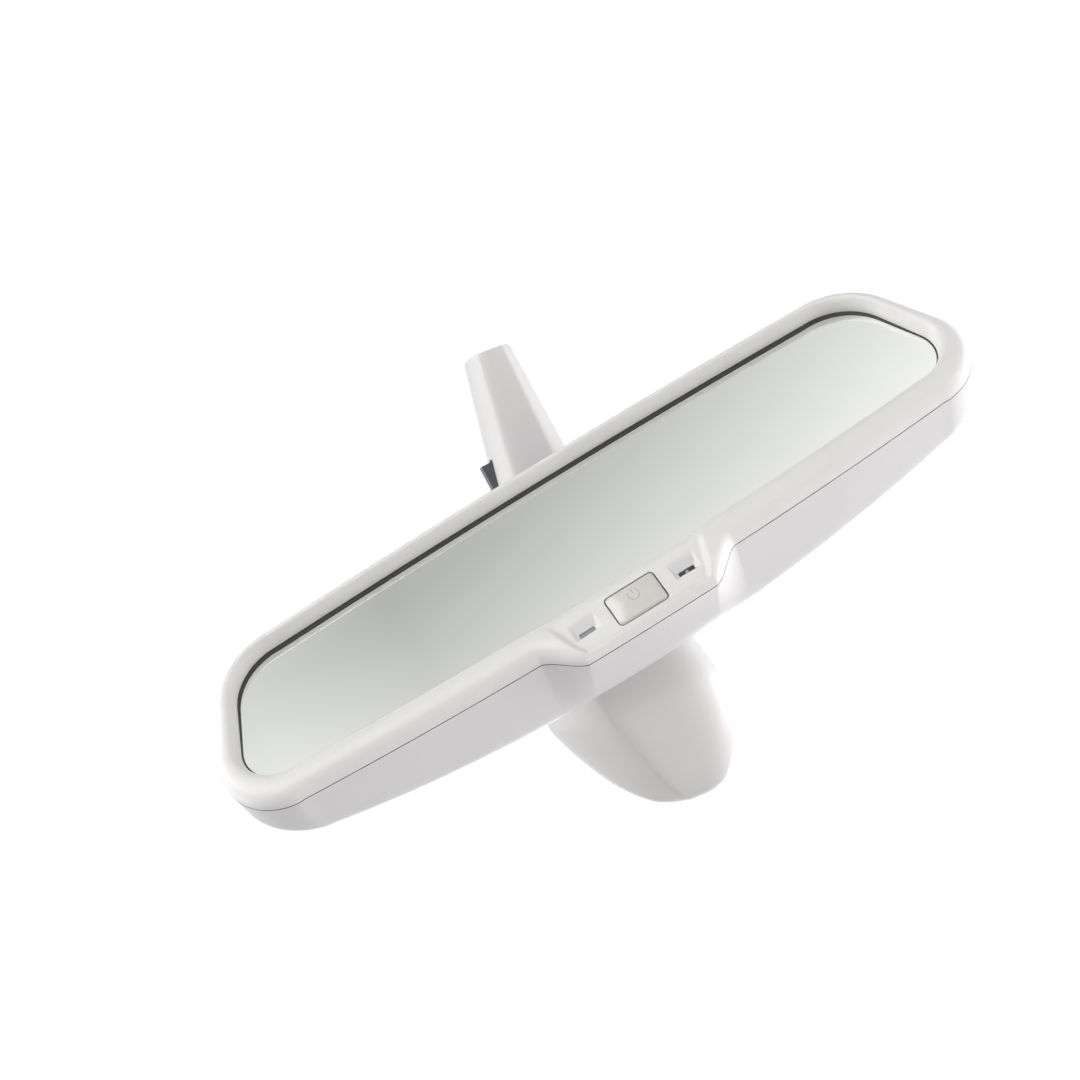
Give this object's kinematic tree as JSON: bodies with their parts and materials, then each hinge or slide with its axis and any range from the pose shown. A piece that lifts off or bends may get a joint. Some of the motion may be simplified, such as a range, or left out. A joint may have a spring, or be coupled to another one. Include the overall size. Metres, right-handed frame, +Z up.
{
  "type": "interior rearview mirror",
  "caption": "Automatic dimming interior rearview mirror on a ball joint, with a power button and sensor windows in its chin, on a windshield foot with cable and sensor covers.",
  "frame": {"origin": "centre of the foot's face on the windshield, at the mouth of its disc socket", "axes": "+X along the mirror, +Y forward through the windshield, +Z up; the mirror glass faces -Y"},
  "size_m": [0.24, 0.1201, 0.1374],
  "materials": {
    "housing_plastic": "fine satin grain",
    "cover_plastic": "fine satin grain",
    "button_plastic": "satin",
    "seal_rubber": "matt",
    "foam": "open cell",
    "clear_glass": "polished",
    "mirror_coating": "polished",
    "spring_metal": "bare",
    "inner_plastic": "moulded",
    "board": "solder mask",
    "screw_steel": "zinc plated",
    "chip_plastic": "moulded epoxy",
    "connector_plastic": "moulded nylon",
    "lens_plastic": "clear moulded",
    "smoked_plastic": "smoked clear",
    "cast_zinc": "die cast",
    "cup_plastic": "acetal",
    "base_plastic": "glass filled",
    "gel": "clear",
    "cable_jacket": "satin"
  },
  "bodies": {
    "mount": {"ball_arm": "cast_zinc", "arm_screws": "screw_steel", "mount_base": "base_plastic", "retaining_spring": "spring_metal", "upper_cover": "cover_plastic", "lower_cover": "cover_plastic", "rain_sensor": "chip_plastic", "sensor_gel_pad": "gel", "sensor_clip": "spring_metal", "mount_harness": "cable_jacket", "harness_connector": "connector_plastic"},
    "liner": {"socket_liner": "cup_plastic"},
    "cup": {"pressure_cup": "cup_plastic"},
    "button": {"power_button": "button_plastic"},
    "head": {"bezel_frame": "housing_plastic", "glass_gasket": "seal_rubber", "front_glass": "clear_glass", "edge_seal": "seal_rubber", "rear_glass": "mirror_coating", "bus_clips": "spring_metal", "foam_pad": "foam", "carrier_plate": "inner_plastic", "rear_shell": "housing_plastic", "circuit_board": "board", "board_screws": "screw_steel", "board_chips": "chip_plastic", "board_connector": "connector_plastic", "tact_switch": "chip_plastic", "status_led": "lens_plastic", "indicator_lens": "lens_plastic", "glare_sensor": "chip_plastic", "glare_lens": "smoked_plastic", "ambient_sensor": "chip_plastic", "ambient_light_pipe": "lens_plastic", "ball_socket": "inner_plastic", "socket_ring": "cast_zinc", "socket_screws": "screw_steel"}
  },
  "joints": [
    {"name": "head_swivel", "type": "hinge", "parent": "mount", "child": "liner", "pos_m": [0.00653, -0.06422, -0.02015], "axis": [0, 0, 1], "range_deg": [-15, 15]},
    {"name": "head_tilt", "type": "hinge", "parent": "liner", "child": "cup", "pos_m": [0.00653, -0.06422, -0.02015], "axis": [1, 0, 0], "range_deg": [-12, 12]},
    {"name": "head_roll", "type": "hinge", "parent": "cup", "child": "head", "pos_m": [0.00653, -0.06422, -0.02015], "axis": [0, 1, 0], "range_deg": [-8, 8]},
    {"name": "button_press", "type": "slide", "parent": "head", "child": "button", "axis": [0, 0.9781, 0.2079], "range_m": [0, 0.0008], "stiffness_N_per_m": 600, "springref_m": -0.001}
  ]
}
